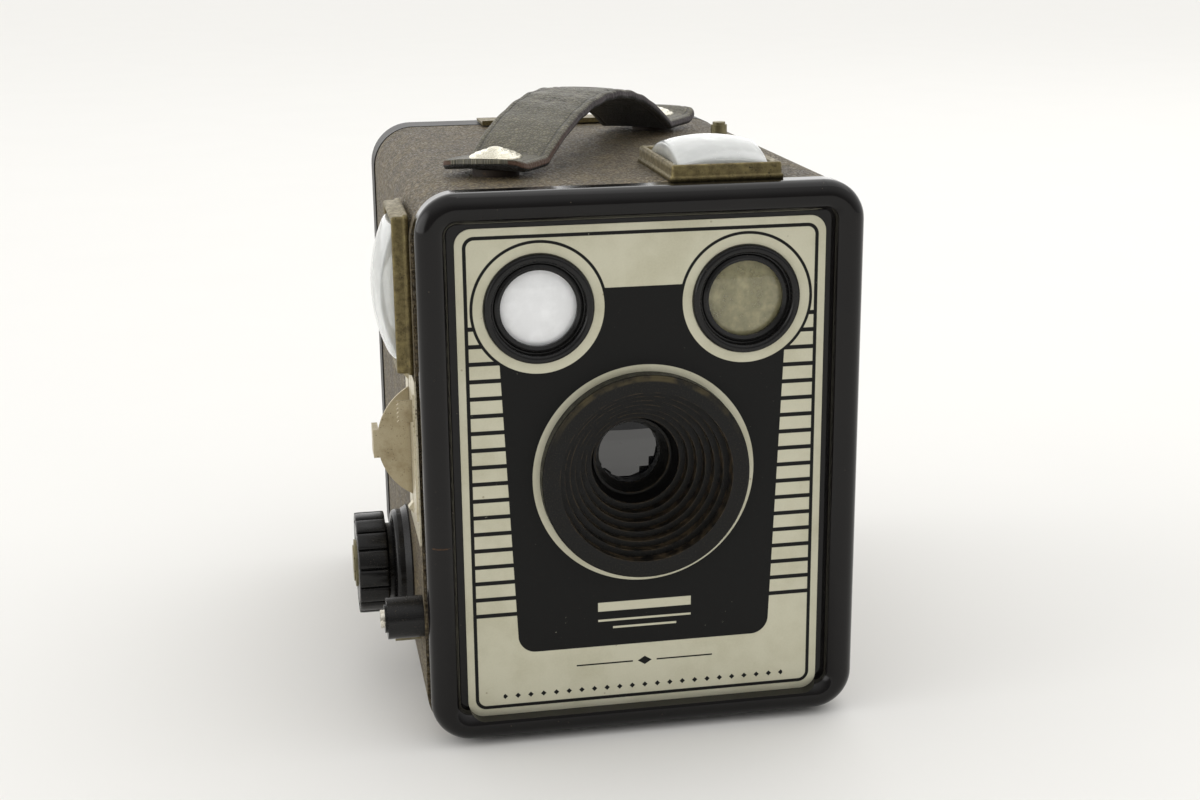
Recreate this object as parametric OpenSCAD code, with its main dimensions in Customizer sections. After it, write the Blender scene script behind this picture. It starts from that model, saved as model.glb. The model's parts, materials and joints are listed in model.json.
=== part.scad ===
// Box camera for roll film: pressed steel body, glossy front, brilliant finders,
// rotary shutter, swinging close-up lens, film carrier, hinged back.
// Millimetres. X runs across the camera, Y from front to back, Z up.
// The origin is the middle of the base, on the surface that the camera stands on.

/* [Body] */
// Width over the covering
body_w = 87.6; // [86:0.1:90]
// Height over the covering
body_h = 111; // [110:0.1:113]
// Where the pressed body starts, behind the front
body_front = -53.5; // [-54:0.1:-53]
// Where the pressed body ends, at the back
body_rear = 49; // [48:0.1:49.2]
// Corner radius of the body, over the covering
body_r = 9.5; // [8.5:0.1:11]
// Thickness of the body's steel sheet
sheet_t = 1; // [0.8:0.1:1.2]
// Thickness of the covering
covering_t = 0.6; // [0.4:0.1:0.8]

/* [Front] */
// Width of the glossy front
bezel_w = 86.8; // [86:0.1:87.4]
// Underside of the glossy front
bezel_z0 = 1.1; // [0.8:0.1:1.4]
// Width of the printed plate
plate_w = 72; // [70:0.1:73]
// Lower edge of the printed plate
plate_z0 = 5.4; // [5:0.1:6]
// Upper edge of the printed plate
plate_z1 = 104.1; // [103:0.1:105]
// Face of the printed plate
plate_y = -57; // [-57.2:0.1:-56.8]
// Height of the lens axis
axis_z = 54.2; // [53:0.1:55]
// Outer radius of the lens hood
hood_r = 20.7; // [20:0.1:21.4]
// How far the lens hood stands proud of the plate
hood_proud = 3; // [2:0.1:4]
// Number of steps in the lens hood
hood_steps = 6; // [4:1:8]

/* [Finders] */
// Distance of each finder lens from the middle
finder_x = 20.27; // [19.5:0.01:21]
// Height of the finder lenses
finder_z = 88.33; // [87:0.01:89]
// Radius of the finder holes in the plate
finder_r = 10.75; // [10:0.05:11]
// Long side of a viewing frame
view_long = 31.3; // [30:0.1:32]
// Short side of a viewing frame
view_short = 22.5; // [21:0.1:23]
// How far back the finder mirrors are centred
mirror_y = -38.75; // [-39:0.05:-38.5]

/* [Shutter] */
// Radius of the half-moon release lever
lever_r = 12.8; // [12:0.1:13.2]
// Where the release lever turns, across
lever_x = -38; // [-38.4:0.1:-37.6]
// Where the release lever turns, up
lever_z = 58.7; // [58:0.1:59.4]
// Radius of the rotary shutter disc
disc_r = 19.5; // [19:0.1:20]
// Radius of the lens opening in the shutter board
stop_r = 4.2; // [3.5:0.1:4.5]
// Where the close-up lever turns, up
closeup_z = 67.4; // [67:0.1:68]
// Angle that swings the close-up lens behind the lens
closeup_swing = 32; // [30:0.5:33]

/* [Winding] */
// Radius of the winding knob
knob_r = 10.9; // [10:0.1:11.5]
// Number of flutes in the knob
knob_flutes = 16; // [12:1:20]
// Where the knob turns, front to back
knob_y = -17; // [-17.4:0.1:-16.6]
// Where the knob turns, up
knob_z = 25.1; // [24.8:0.1:25.4]
// Radius of the spool flanges
spool_r = 11.4; // [11:0.1:11.5]
// Half the length of a film spool
spool_half = 32.75; // [32:0.05:33]

/* [Strap] */
// Width of the leather strap
strap_w = 18; // [16:0.5:20]
// Thickness of the strap
strap_t = 2; // [1.5:0.1:2.4]
// Height of the strap's top where it is riveted
strap_low = 114.4; // [114:0.1:115]
// How far the strap bows up above that
strap_rise = 9.8; // [8:0.1:12]
// Distance between the two rivets
rivet_pitch = 81; // [78:0.5:84]

/* [Hidden] */

$fn = 64;
tiny = 0.01;
running = 0.05;

// body walls
cover_x = body_w / 2;
shell_x = cover_x - covering_t;
inner_x = shell_x - sheet_t;
shell_z0 = covering_t;
shell_z1 = body_h - covering_t;
inner_z0 = shell_z0 + sheet_t;
inner_z1 = shell_z1 - sheet_t;
shell_r = body_r - covering_t;
inner_r = shell_r - sheet_t;
lip_t = 0.8;
lip_y0 = 45;
lip_y1 = 54.5;
lip_z0 = 12;
base_half = cover_x - body_r;

// glossy front
bezel_x = bezel_w / 2;
bezel_z1 = body_h;
bezel_r = 8;
roll_r = 3;
roll_depth = 3.5;
flange_t = 2;
floor_t = 1;
plate_t = 0.4;
floor_y = plate_y + plate_t;
floor_back = floor_y + floor_t;
plate_r = 3.2;
plate_gap = 0.03;
collar_depth = 1.6;

// lens and hood
hood_front = plate_y - hood_proud;
hood_neck = 18.5;
hood_mouth = 17.2;
hood_floor_r = 10.4;
hood_floor_y = -48.5;
hood_back = -47.9;
retainer_r = 8.1;
lens_r = 7.4;
lens_seen = 6.4;
lens_hold = -42.55;
lens_front = -43.2;
lens_curve = 30;
retainer_front = -45.5;
retainer_wall = 0.5;
hood_hole = 9;

// boards behind the lens
board_x = 38;
board_z0 = 12;
board_z1 = 75.6;
lens_board_y = -43.6;
shutter_board_y = -41.4;
board_t = 0.8;
spacer_x = 24;
spacer_z = [20, 72];
spacer_r = 2.4;

// finders
ring_neck = finder_r - 0.85;
ring_hole = 7.4;
finder_lens_r = 8.25;
frame_h = 3.2;
frame_base = 0.8;
frame_rim = 2.4;
dome_rise = 2.9;
housing_x = 41.3;
housing_z0 = 76;
housing_t = 0.6;
housing_front = -50.3;
housing_back = -26.4;
housing_top = 109.3;
mirror_t = 1.2;
mirror_len = 29;
top_view_x = 17.05;
top_view_y = mirror_y;
side_view_z = 90.4;

// shutter and close-up
lever_y = -39.4;
lever_t = 0.6;
disc_x = 12;
disc_z = 46;
disc_y = -40.3;
disc_t = 0.3;
slot_half = 17;
slot_lead = 40;
closeup_x = -31;
closeup_y = -47.5;
closeup_t = 0.5;
closeup_ring = 8;
closeup_thumb_y = -48.6;
closeup_reach = norm([closeup_x, closeup_z - axis_z]);
closeup_dir = atan2(axis_z - closeup_z, -closeup_x);
closeup_rest = closeup_dir - closeup_swing;
stud_r = 1.2;

// side escutcheon
plate_x = cover_x + 0.35;
escutcheon_y = [-54, -31.5];
escutcheon_z = [41, 74.6];

// flash contacts and the peg on the top
socket_y = -49;
socket_z = 24.8;
stub_y = -40;
stub_z = 18.3;
peg_x = 30;
peg_y = 3;

// winding
seat_rise = 3.7;
seat_x = cover_x + seat_rise - 1.2;
sleeve_r = 3.6;
shaft_r = 2.05;
bush_r = 4.4;
knob_face = -55.2;
knob_back = -49;

// film carrier
cone_front = -38;
gate_y = 49.4;
gate_half_x = 28.5;
gate_half_z = 42;
cone_small = 7.5;
cone_t = 0.6;
side_in = 33.6;
side_t = 0.8;
roller_y = 46.5;
roller_r = 2.4;
roller_z = [6.9, 101.5];
supply_y = -14;
supply_z = 84;
pin_r = 1.5;

// back
door_x = 44.1;
door_z0 = 0.1;
door_z1 = 111.1;
door_r = 9.8;
door_front = 49.3;
door_back = 58.6;
door_t = 0.8;
window_z = 34;
hinge_y = 50.6;
hinge_z = 1.6;
knuckle_r = 1.35;
hinge_pin_r = 0.6;
knuckle_len = 12;
catch_half = 18;
catch_y0 = 44;
catch_y1 = 55.5;
catch_bead = 0.3;

// strap
strap_front = [-25, -35];
strap_angle = atan2(77, 53);
strap_end = 7;
bow_start = 5.5;
bow_end = 71.5;
rivet_r = 5.2;
rivet_shank = 1.4;

// ---------- shared shapes ----------

// flat shape with round corners between two corners
module rounded_rect(x0, x1, y0, y1, r) {
    translate([x0 + r, y0])
        square([x1 - x0 - 2 * r, y1 - y0]);
    translate([x0, y0 + r])
        square([x1 - x0, y1 - y0 - 2 * r]);
    for (x = [x0 + r, x1 - r], y = [y0 + r, y1 - r])
        translate([x, y])
            circle(r);
}

// a flat shape drawn across and up, run from y0 back to y1
module prism_y(y0, y1) {
    translate([0, y1, 0])
        rotate([90, 0, 0])
            linear_extrude(y1 - y0)
                children();
}

// a flat shape drawn front to back and up, run from x0 to x1
module prism_x(x0, x1) {
    translate([x0, 0, 0])
        rotate([90, 0, 90])
            linear_extrude(x1 - x0)
                children();
}

module rod_x(r, x0, x1, y, z) {
    translate([x0, y, z])
        rotate([0, 90, 0])
            cylinder(r = r, h = x1 - x0);
}

module rod_y(r, y0, y1, x, z) {
    translate([x, y1, z])
        rotate([90, 0, 0])
            cylinder(r = r, h = y1 - y0);
}

module rod_z(r, z0, z1, x, y) {
    translate([x, y, z0])
        cylinder(r = r, h = z1 - z0);
}

module block(x, y, z) {
    translate([x[0], y[0], z[0]])
        cube([x[1] - x[0], y[1] - y[0], z[1] - z[0]]);
}

// a section given as radius and height towards the front, turned about a line through x, z
module turned_y(x, y, z) {
    translate([x, y, z])
        rotate([90, 0, 0])
            rotate_extrude()
                children();
}

// a section run round a rounded rectangle; its x is measured from the corner's centre outwards
module frame_sweep(x0, x1, z0, z1, r) {
    corners = [[x1 - r, z1 - r], [x0 + r, z1 - r], [x0 + r, z0 + r], [x1 - r, z0 + r]];
    runs = [z1 - z0 - 2 * r, x1 - x0 - 2 * r];
    rotate([90, 0, 0])
        for (k = [0:3])
            translate([corners[k][0], corners[k][1], 0])
                rotate([0, 0, 90 * k]) {
                    rotate_extrude(angle = 90)
                        children();
                    rotate([90, 0, 0])
                        linear_extrude(runs[k % 2])
                            children();
                }
}

// ---------- body ----------

module side_holes(x0, x1) {
    prism_x(x0, x1) {
        translate([mirror_y - 8.5, side_view_z - 12.5])
            square([17, 25]);
        translate([lever_y - 0.4, lever_z - 12.8])
            square([lever_t + 0.8, 25.6]);
        translate([closeup_thumb_y - 0.6, closeup_z - 11.4])
            square([closeup_t + 1.2, 14.2]);
        translate([knob_y, knob_z])
            circle(bush_r + running);
        translate([socket_y, socket_z])
            circle(2.65);
        translate([stub_y, stub_z])
            circle(1.65);
    }
}

module top_holes(z0, z1) {
    translate([top_view_x - 8.5, top_view_y - 11.5, z0])
        cube([17, 24, z1 - z0]);
    for (s = [0, rivet_pitch])
        rod_z(rivet_shank + running, z0, z1, strap_front[0] + s * cos(strap_angle),
              strap_front[1] + s * sin(strap_angle));
    rod_z(1.85, z0, z1, peg_x, peg_y);
}

module body_shell() {
    color("#232020")
        difference() {
            union() {
                prism_y(body_front, body_rear)
                    difference() {
                        rounded_rect(-shell_x, shell_x, shell_z0, shell_z1, shell_r);
                        rounded_rect(-inner_x, inner_x, inner_z0, inner_z1, inner_r);
                    }
                prism_y(lip_y0, lip_y1)
                    difference() {
                        rounded_rect(-inner_x, inner_x, inner_z0, inner_z1, inner_r);
                        rounded_rect(-inner_x + lip_t, inner_x - lip_t,
                                     inner_z0 + lip_t, inner_z1 - lip_t, inner_r - lip_t);
                        translate([-inner_x - 1, 0])
                            square([2 * inner_x + 2, lip_z0]);
                    }
            }
            side_holes(-shell_x - 1, -inner_x + 1);
            top_holes(inner_z1 - 1, shell_z1 + 1);
        }
}

module side_covering() {
    color("#3b3431")
        difference() {
            prism_y(body_front, body_rear)
                difference() {
                    rounded_rect(-cover_x, cover_x, 0, body_h, body_r);
                    rounded_rect(-shell_x, shell_x, shell_z0, shell_z1, shell_r);
                    translate([-base_half, -1])
                        square([2 * base_half, 3]);
                }
            side_holes(-cover_x - 1, -shell_x + tiny);
            top_holes(shell_z1 - tiny, body_h + 1);
        }
}

module base_covering() {
    color("#3b3431")
        block([-base_half, base_half], [body_front, body_rear], [0, shell_z0]);
}

// ---------- front ----------

module bezel_section() {
    translate([bezel_r - flange_t, 0])
        square([flange_t, roll_depth]);
    translate([bezel_r - roll_r, roll_depth])
        circle(roll_r);
    translate([0.4, body_front - floor_back])
        square([bezel_r - roll_r - 0.4, floor_t]);
}

module front_bezel() {
    color("#0b0b0d")
        difference() {
            union() {
                translate([0, body_front, 0])
                    frame_sweep(-bezel_x, bezel_x, bezel_z0, bezel_z1, bezel_r)
                        bezel_section();
                prism_y(floor_y, floor_back)
                    square_floor();
                prism_y(body_front, body_front + collar_depth)
                    difference() {
                        rounded_rect(-inner_x + 0.02, inner_x - 0.02, inner_z0 + 0.02,
                                     inner_z1 - 0.02, inner_r);
                        rounded_rect(-inner_x + lip_t, inner_x - lip_t, inner_z0 + lip_t,
                                     inner_z1 - lip_t, inner_r - lip_t);
                    }
            }
            prism_y(plate_y - 2 * roll_r, floor_y)
                plate_outline(plate_gap);
            rod_y(hood_neck + running, floor_y - 1, floor_back + 1, 0, axis_z);
            for (x = [-finder_x, finder_x])
                rod_y(ring_neck + running, floor_y - 1, floor_back + 1, x, finder_z);
        }
}

module square_floor() {
    rounded_rect(-bezel_x + bezel_r - 0.5, bezel_x - bezel_r + 0.5, bezel_z0 + bezel_r - 0.5,
                 bezel_z1 - bezel_r + 0.5, 0.5);
}

module plate_outline(gap) {
    rounded_rect(-plate_w / 2 - gap, plate_w / 2 + gap, plate_z0 - gap, plate_z1 + gap, plate_r + gap);
}

module front_plate() {
    color("#bdb9a6")
        difference() {
            prism_y(plate_y, floor_y)
                plate_outline(0);
            rod_y(hood_r + running, plate_y - 1, floor_y + 1, 0, axis_z);
            for (x = [-finder_x, finder_x])
                rod_y(finder_r, plate_y - 1, floor_y + 1, x, finder_z);
        }
}

// inside of the hood: each step is narrower and further back than the last
module hood_steps_section() {
    front = hood_proud;
    rise = (hood_proud - (plate_y - hood_floor_y) - 0.6) / hood_steps;
    run = (hood_mouth - hood_floor_r) / (hood_steps - 1);
    for (k = [0:hood_steps - 1])
        translate([0, front - 0.6 - (k + 1) * rise])
            square([hood_mouth - k * run, rise + 2]);
}

module lens_hood() {
    color("#17161a")
        turned_y(0, plate_y, axis_z)
            difference() {
                union() {
                    translate([hood_hole, plate_y - hood_back])
                        square([hood_neck - hood_hole, hood_back - plate_y + 1]);
                    translate([hood_hole, -plate_t])
                        square([hood_r - hood_hole, hood_proud + plate_t - 0.6]);
                    translate([hood_hole, hood_proud - 0.6 - tiny])
                        square([hood_r - 0.6 - hood_hole, 0.6 + tiny]);
                    translate([hood_r - 0.6, hood_proud - 0.6])
                        circle(0.6);
                }
                hood_steps_section();
            }
}

module finder_ring(x) {
    color("#0d0d10")
        turned_y(x, plate_y, finder_z)
            difference() {
                union() {
                    translate([ring_hole, -2.4])
                        square([ring_neck - ring_hole, 2]);
                    translate([9, -plate_t])
                        square([finder_r - 0.05 - 9, plate_t + 0.1]);
                    intersection() {
                        translate([finder_r - 0.9, 0.1])
                            circle(0.85);
                        translate([ring_hole, -plate_t])
                            square([finder_r, 3]);
                    }
                    polygon([[ring_hole, -0.5], [ring_hole, -0.25], [8, 0.15], [8.5, -0.1], [8.8, -0.5]]);
                }
                translate([ring_hole - 0.5, -2.5])
                    square([finder_lens_r + running - ring_hole + 0.5, 1.5]);
            }
}

module finder_lens(x) {
    color("#cfd6d4")
        intersection() {
            rod_y(finder_lens_r, plate_y + 0.6, plate_y + 2.35, x, finder_z);
            translate([x, plate_y + 0.6 + 40, finder_z])
                sphere(40, $fn = 96);
        }
}

module finder_ring_left() { finder_ring(-finder_x); }
module finder_ring_right() { finder_ring(finder_x); }
module finder_lens_left() { finder_lens(-finder_x); }
module finder_lens_right() { finder_lens(finder_x); }

module finder_housing() {
    color("#2a2a2a")
        intersection() {
            prism_y(housing_front, housing_back)
                rounded_rect(-housing_x, housing_x, 0, housing_top, inner_r);
            union() {
                block([-50, 50], [housing_front, housing_back], [housing_z0, housing_z0 + housing_t]);
                block([-50, 50], [housing_back - housing_t, housing_back], [housing_z0, body_h]);
                block([-housing_t / 2, housing_t / 2], [housing_front, housing_back], [housing_z0, body_h]);
            }
        }
}

module top_mirror() {
    color("#dfe4e6")
        translate([finder_x, mirror_y, finder_z])
            rotate([45, 0, 0])
                translate([-14, -mirror_len / 2, -mirror_t])
                    cube([28, mirror_len, mirror_t]);
}

module side_mirror() {
    color("#dfe4e6")
        translate([-finder_x, mirror_y, side_view_z])
            rotate([0, 0, -45])
                translate([-mirror_len / 2, 0, -13.5])
                    cube([mirror_len, mirror_t, 27]);
}

// frame lying flat, long side along y, with its base at z = 0
module view_frame() {
    color("#77705a")
        difference() {
            union() {
                translate([-view_short / 2, -view_long / 2, 0])
                    cube([view_short, view_long, frame_base]);
                translate([-view_short / 2 + 0.4, -view_long / 2 + 0.4, frame_base - tiny])
                    cube([view_short - 0.8, view_long - 0.8, frame_h - frame_base + tiny]);
            }
            translate([-view_short / 2 + frame_rim, -view_long / 2 + frame_rim, -1])
                cube([view_short - 2 * frame_rim, view_long - 2 * frame_rim, frame_h + 2]);
        }
}

module view_glass() {
    half_x = view_short / 2 - frame_rim - 0.05;
    half_y = view_long / 2 - frame_rim - 0.05;
    top = frame_h + dome_rise + 0.8;
    curve = (half_y * half_y + dome_rise * dome_rise) / (2 * dome_rise);
    color("#d9e2e0")
        intersection() {
            translate([-half_x, -half_y, 0.4])
                cube([2 * half_x, 2 * half_y, top]);
            translate([0, 0, top - curve])
                sphere(curve, $fn = 96);
        }
}

// the side frame is the same pair stood on the side wall, long side up
module on_top() {
    translate([top_view_x, top_view_y, body_h])
        children();
}

module on_side() {
    translate([-cover_x, mirror_y, side_view_z])
        rotate([0, -90, 0])
            rotate([0, 0, 90])
                children();
}

module top_finder_frame() { on_top() view_frame(); }
module top_finder_glass() { on_top() view_glass(); }
module side_finder_frame() { on_side() view_frame(); }
module side_finder_glass() { on_side() view_glass(); }

// ---------- lens, boards and shutter ----------

module taking_lens() {
    color("#8a8f96")
        intersection() {
            rod_y(lens_r, lens_front - 1, shutter_board_y, 0, axis_z);
            translate([0, lens_front + lens_curve, axis_z])
                sphere(lens_curve, $fn = 96);
        }
}

module lens_retainer() {
    color("#1b1a1c")
        turned_y(0, lens_board_y, axis_z)
            polygon([[lens_seen, lens_board_y - lens_hold],
                     [lens_r, lens_board_y - lens_hold],
                     [lens_r, 0],
                     [retainer_r, 0],
                     [retainer_r, lens_board_y - retainer_front],
                     [retainer_r - retainer_wall, lens_board_y - retainer_front]]);
}

module board(y, hole) {
    difference() {
        block([-board_x, board_x], [y, y + board_t], [board_z0, board_z1]);
        rod_y(hole, y - 1, y + board_t + 1, 0, axis_z);
    }
}

module lens_board() {
    color("#3a3a3c") {
        board(lens_board_y, lens_r + running);
        rod_y(stud_r, closeup_y - 0.35, lens_board_y + tiny, closeup_x, closeup_z);
    }
}

module board_spacers() {
    color("#8d8a82")
        for (x = [-spacer_x, spacer_x], z = spacer_z) {
            rod_y(spacer_r, floor_back, lens_board_y, x, z);
            rod_y(spacer_r - 0.4, lens_board_y + board_t, shutter_board_y, x, z);
        }
}

module shutter_board() {
    color("#3a3a3c")
        union() {
            board(shutter_board_y, stop_r);
            rod_y(stud_r, shutter_board_y + board_t - tiny, disc_y + disc_t + 0.5, disc_x, disc_z);
            rod_y(stud_r, shutter_board_y + board_t - tiny, lever_y + lever_t + 1.4,
                  lever_x + 0.4, lever_z);
        }
}

module board_screws() {
    color("#a59c86")
        for (x = [-spacer_x, spacer_x], z = spacer_z)
            difference() {
                rod_y(spacer_r, shutter_board_y + board_t, shutter_board_y + board_t + 1.1, x, z);
                block([x - 3, x + 3], [shutter_board_y + board_t + 0.6, 0], [z - 0.3, z + 0.3]);
            }
}

module shutter_lever() {
    color("#a58f74")
        difference() {
            union() {
                intersection() {
                    rod_y(lever_r, lever_y, lever_y + lever_t, lever_x, lever_z);
                    block([-60, -35], [-60, 0], [30, 90]);
                }
                block([lever_x - lever_r - 0.8, lever_x - lever_r + 0.35], [lever_y, lever_y + 5.6],
                      [lever_z - 3.2, lever_z + 2.6]);
                block([-35 - tiny, -16], [lever_y, lever_y + lever_t], [lever_z - 3, lever_z + 1]);
            }
            rod_y(stud_r + running, lever_y - 1, lever_y + lever_t + 1, lever_x + 0.4, lever_z);
        }
}

module shutter_disc() {
    angle = atan2(axis_z - disc_z, -disc_x) - slot_lead;
    reach = norm([disc_x, axis_z - disc_z]);
    color("#1d1d1f")
        difference() {
            rod_y(disc_r, disc_y, disc_y + disc_t, disc_x, disc_z);
            rod_y(stud_r + running, disc_y - 1, disc_y + disc_t + 1, disc_x, disc_z);
            intersection() {
                difference() {
                    rod_y(reach + stop_r + 0.3, disc_y - 1, disc_y + 1, disc_x, disc_z);
                    rod_y(reach - stop_r - 0.3, disc_y - 2, disc_y + 2, disc_x, disc_z);
                }
                translate([disc_x, 0, disc_z])
                    prism_y(disc_y - 1, disc_y + 1)
                        polygon([[0, 0],
                                 30 * [cos(angle - slot_half), sin(angle - slot_half)],
                                 30 * [cos(angle + slot_half), sin(angle + slot_half)]]);
            }
        }
}

module lever_spring() {
    color("#b9b4a8")
        translate([lever_x + 0.4, lever_y + lever_t + 0.35, lever_z])
            rotate([-90, 0, 0])
                for (k = [0:1])
                    translate([0, 0, 0.5 * k])
                        rotate_extrude()
                            translate([1.9, 0])
                                circle(0.24, $fn = 24);
}

module closeup_centre() {
    translate([closeup_x + closeup_reach * cos(closeup_rest), 0,
               closeup_z + closeup_reach * sin(closeup_rest)])
        children();
}

module close_up_lever() {
    thumb_x = [-47.3, -40.7];
    color("#a39679")
        difference() {
            union() {
                rod_y(3, closeup_y, closeup_y + closeup_t, closeup_x, closeup_z);
                translate([closeup_x, 0, closeup_z])
                    rotate([0, -closeup_rest, 0])
                        block([0, closeup_reach - closeup_ring + 1], [closeup_y, closeup_y + closeup_t],
                              [-2.2, 2.2]);
                closeup_centre()
                    rod_y(closeup_ring, closeup_y, closeup_y + 1.5, 0, 0);
                block([-41.2, closeup_x], [closeup_y, closeup_y + closeup_t],
                      [closeup_z - 2.2, closeup_z + 2.2]);
                block([-41.2, -40.7], [closeup_thumb_y, closeup_y + closeup_t],
                      [closeup_z - 2.2, closeup_z + 2.2]);
                block(thumb_x, [closeup_thumb_y, closeup_thumb_y + closeup_t],
                      [closeup_z - 2.2, closeup_z + 2.2]);
            }
            rod_y(stud_r + running, closeup_y - 1, closeup_y + closeup_t + 1, closeup_x, closeup_z);
            closeup_centre()
                rod_y(lens_seen + running, closeup_y - 1, closeup_y + 3, 0, 0);
            for (k = [-2:2])
                translate([thumb_x[0], closeup_thumb_y, closeup_z + 0.85 * k])
                    rotate([0, 45, 0])
                        cube([0.5, 3, 0.5], center = true);
        }
}

module close_up_lens() {
    color("#b9c0c4")
        closeup_centre()
            rod_y(lens_seen, closeup_y + 0.1, closeup_y + 1.4, 0, 0);
}

module side_escutcheon() {
    y = escutcheon_y;
    z = escutcheon_z;
    color("#c8c2ae")
        difference() {
            union() {
                prism_x(-plate_x, -cover_x)
                    rounded_rect(y[0], y[1], z[0], z[1], 0.8);
                block([-plate_x - 0.35, -plate_x + tiny], [y[0] + 1.4, y[0] + 2], [z[0] + 5, z[1] - 3]);
                for (end = [-1, 1])
                    translate([-plate_x, lever_y + 0.3, lever_z + end * 14])
                        rotate([0, -90, 0])
                            prism_y(-0.9, 0.9)
                                polygon([[-1.2, -tiny], [1.2, -tiny], [0, 1]]);
            }
            side_holes(-plate_x - 3, -cover_x + tiny);
        }
}

// ---------- flash contacts ----------

module flash_socket() {
    color("#141416")
        difference() {
            union() {
                rod_x(4.2, -51, -cover_x, socket_y, socket_z);
                rod_x(2.9, -51.5, -51 + tiny, socket_y, socket_z);
                rod_x(2.6, -cover_x - tiny, -inner_x + 1.2, socket_y, socket_z);
            }
            rod_x(1.25, -52, -45, socket_y, socket_z);
        }
}

module flash_contact() {
    color("#c9c4b4")
        difference() {
            union() {
                rod_x(1.2, -51.5, -45, socket_y, socket_z);
                rod_x(1.85, -52.3, -51.5, socket_y, socket_z);
            }
            rod_x(0.8, -53, -47, socket_y, socket_z);
        }
}

module flash_pin() {
    color("#b49a5c")
        union() {
            rod_x(2.2, -49, -cover_x, stub_y, stub_z);
            rod_x(1.6, -cover_x - tiny, -inner_x + 1.2, stub_y, stub_z);
            rod_x(1.7, -49.6, -49 + tiny, stub_y, stub_z);
        }
}

// ---------- film carrier ----------

module cone_ring(y, half_x, half_z, depth) {
    translate([-half_x, y, axis_z - half_z])
        cube([2 * half_x, depth, 2 * half_z]);
}

module light_cone() {
    color("#1c1c1c") {
        difference() {
            hull() {
                cone_ring(cone_front + board_t, cone_small + cone_t, cone_small + cone_t, 0.1);
                cone_ring(gate_y - 0.1, gate_half_x + cone_t, gate_half_z + cone_t, 0.1);
            }
            hull() {
                cone_ring(cone_front - 0.1, cone_small, cone_small, 0.1);
                cone_ring(gate_y, gate_half_x, gate_half_z, 1);
            }
        }
        difference() {
            block([-side_in, side_in], [cone_front, cone_front + board_t], [30, 74]);
            cone_ring(cone_front - 1, cone_small, cone_small, 3);
        }
    }
}

module carrier_side(x0) {
    difference() {
        prism_x(x0, x0 + side_t)
            polygon([[-38, 16], [-38, 74], [-25.5, 74], [-25.5, 98], [-14, 104.5], [gate_y + 0.8, 104.5],
                     [gate_y + 0.8, 4], [-14, 4]]);
        for (z = roller_z)
            rod_x(0.95, x0 - 1, x0 + 2, roller_y, z);
        rod_x(pin_r + running, x0 - 1, x0 + 2, supply_y, supply_z);
        rod_x(x0 < 0 ? 5 : pin_r + running, x0 - 1, x0 + 2, knob_y, knob_z);
    }
}

module carrier_side_left() {
    color("#26262a")
        carrier_side(-side_in - side_t);
}

module carrier_side_right() {
    color("#26262a")
        carrier_side(side_in);
}

module film_gate() {
    color("#202022")
        prism_y(gate_y, gate_y + 0.8)
            difference() {
                rounded_rect(-side_in, side_in, 9.7, 98.7, 1);
                rounded_rect(-gate_half_x, gate_half_x, axis_z - gate_half_z, axis_z + gate_half_z, 1);
            }
}

// headed pin through a carrier side, pointing to the middle; dir is -1 on the left
module centre_pin(dir, y, z, tip) {
    mirror([dir < 0 ? 1 : 0, 0, 0]) {
        rod_x(pin_r, tip, side_in + side_t + tiny, y, z);
        rod_x(3, side_in + side_t, side_in + side_t + 0.8, y, z);
    }
}

module spool_pin() {
    color("#b3ab98")
        centre_pin(1, knob_y, knob_z, spool_half - 3.4);
}

module supply_pins() {
    color("#b3ab98")
        for (dir = [-1, 1])
            centre_pin(dir, supply_y, supply_z, spool_half - 2.6);
}

module film_roller(z) {
    color("#8f8d86") {
        rod_x(roller_r, -side_in + 0.4, side_in - 0.4, roller_y, z);
        rod_x(0.9, -side_in - side_t + 0.1, side_in + side_t - 0.1, roller_y, z);
    }
}

module upper_roller() { film_roller(roller_z[1]); }
module lower_roller() { film_roller(roller_z[0]); }

// ---------- winding ----------

module shaft_bush() {
    color("#6e6a5e")
        difference() {
            union() {
                rod_x(bush_r, -seat_x, -inner_x + 1.6, knob_y, knob_z);
                rod_x(6, -inner_x, -inner_x + 1, knob_y, knob_z);
            }
            rod_x(sleeve_r + running, -seat_x - 1, -inner_x + 3, knob_y, knob_z);
        }
}

module knob_seat() {
    color("#1a1918")
        translate([-cover_x, knob_y, knob_z])
            rotate([0, -90, 0])
                rotate_extrude()
                    difference() {
                        union() {
                            translate([bush_r + running, 0])
                                square([6.6, 1.2]);
                            translate([8.8, 0])
                                square([2.3, seat_rise - 1.1]);
                            translate([9.95, seat_rise - 1.15])
                                circle(1.15);
                            polygon([[11.1, 0], [11.9, 0], [11.9, 0.35], [11.1, 1.6]]);
                        }
                        translate([0, -3])
                            square([20, 3]);
                    }
}

module shaft_sleeve() {
    color("#8a8472")
        difference() {
            rod_x(sleeve_r, -48.4, -35.6, knob_y, knob_z);
            rod_x(shaft_r + running, -50, -30, knob_y, knob_z);
        }
}

module winding_knob() {
    groove_r = 0.95;
    color("#121214")
        difference() {
            union() {
                rod_x(knob_r, knob_face, knob_back, knob_y, knob_z);
                rod_x(8.2, knob_back - tiny, -46.7, knob_y, knob_z);
            }
            rod_x(sleeve_r + 0.3, -48.6, -40, knob_y, knob_z);
            rod_x(shaft_r + 0.02, -54, -40, knob_y, knob_z);
            for (k = [0:knob_flutes - 1])
                translate([0, knob_y, knob_z])
                    rotate([360 / knob_flutes * k, 0, 0])
                        rod_x(groove_r, knob_face - 1, knob_back + 1, 0, knob_r + 0.35);
        }
}

module knob_disc() {
    color("#7d7446")
        union() {
            rod_x(5.1, knob_face - 0.5, knob_face, knob_y, knob_z);
            rod_x(3.9, knob_face - 0.8, knob_face - 0.5 + tiny, knob_y, knob_z);
        }
}

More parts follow.
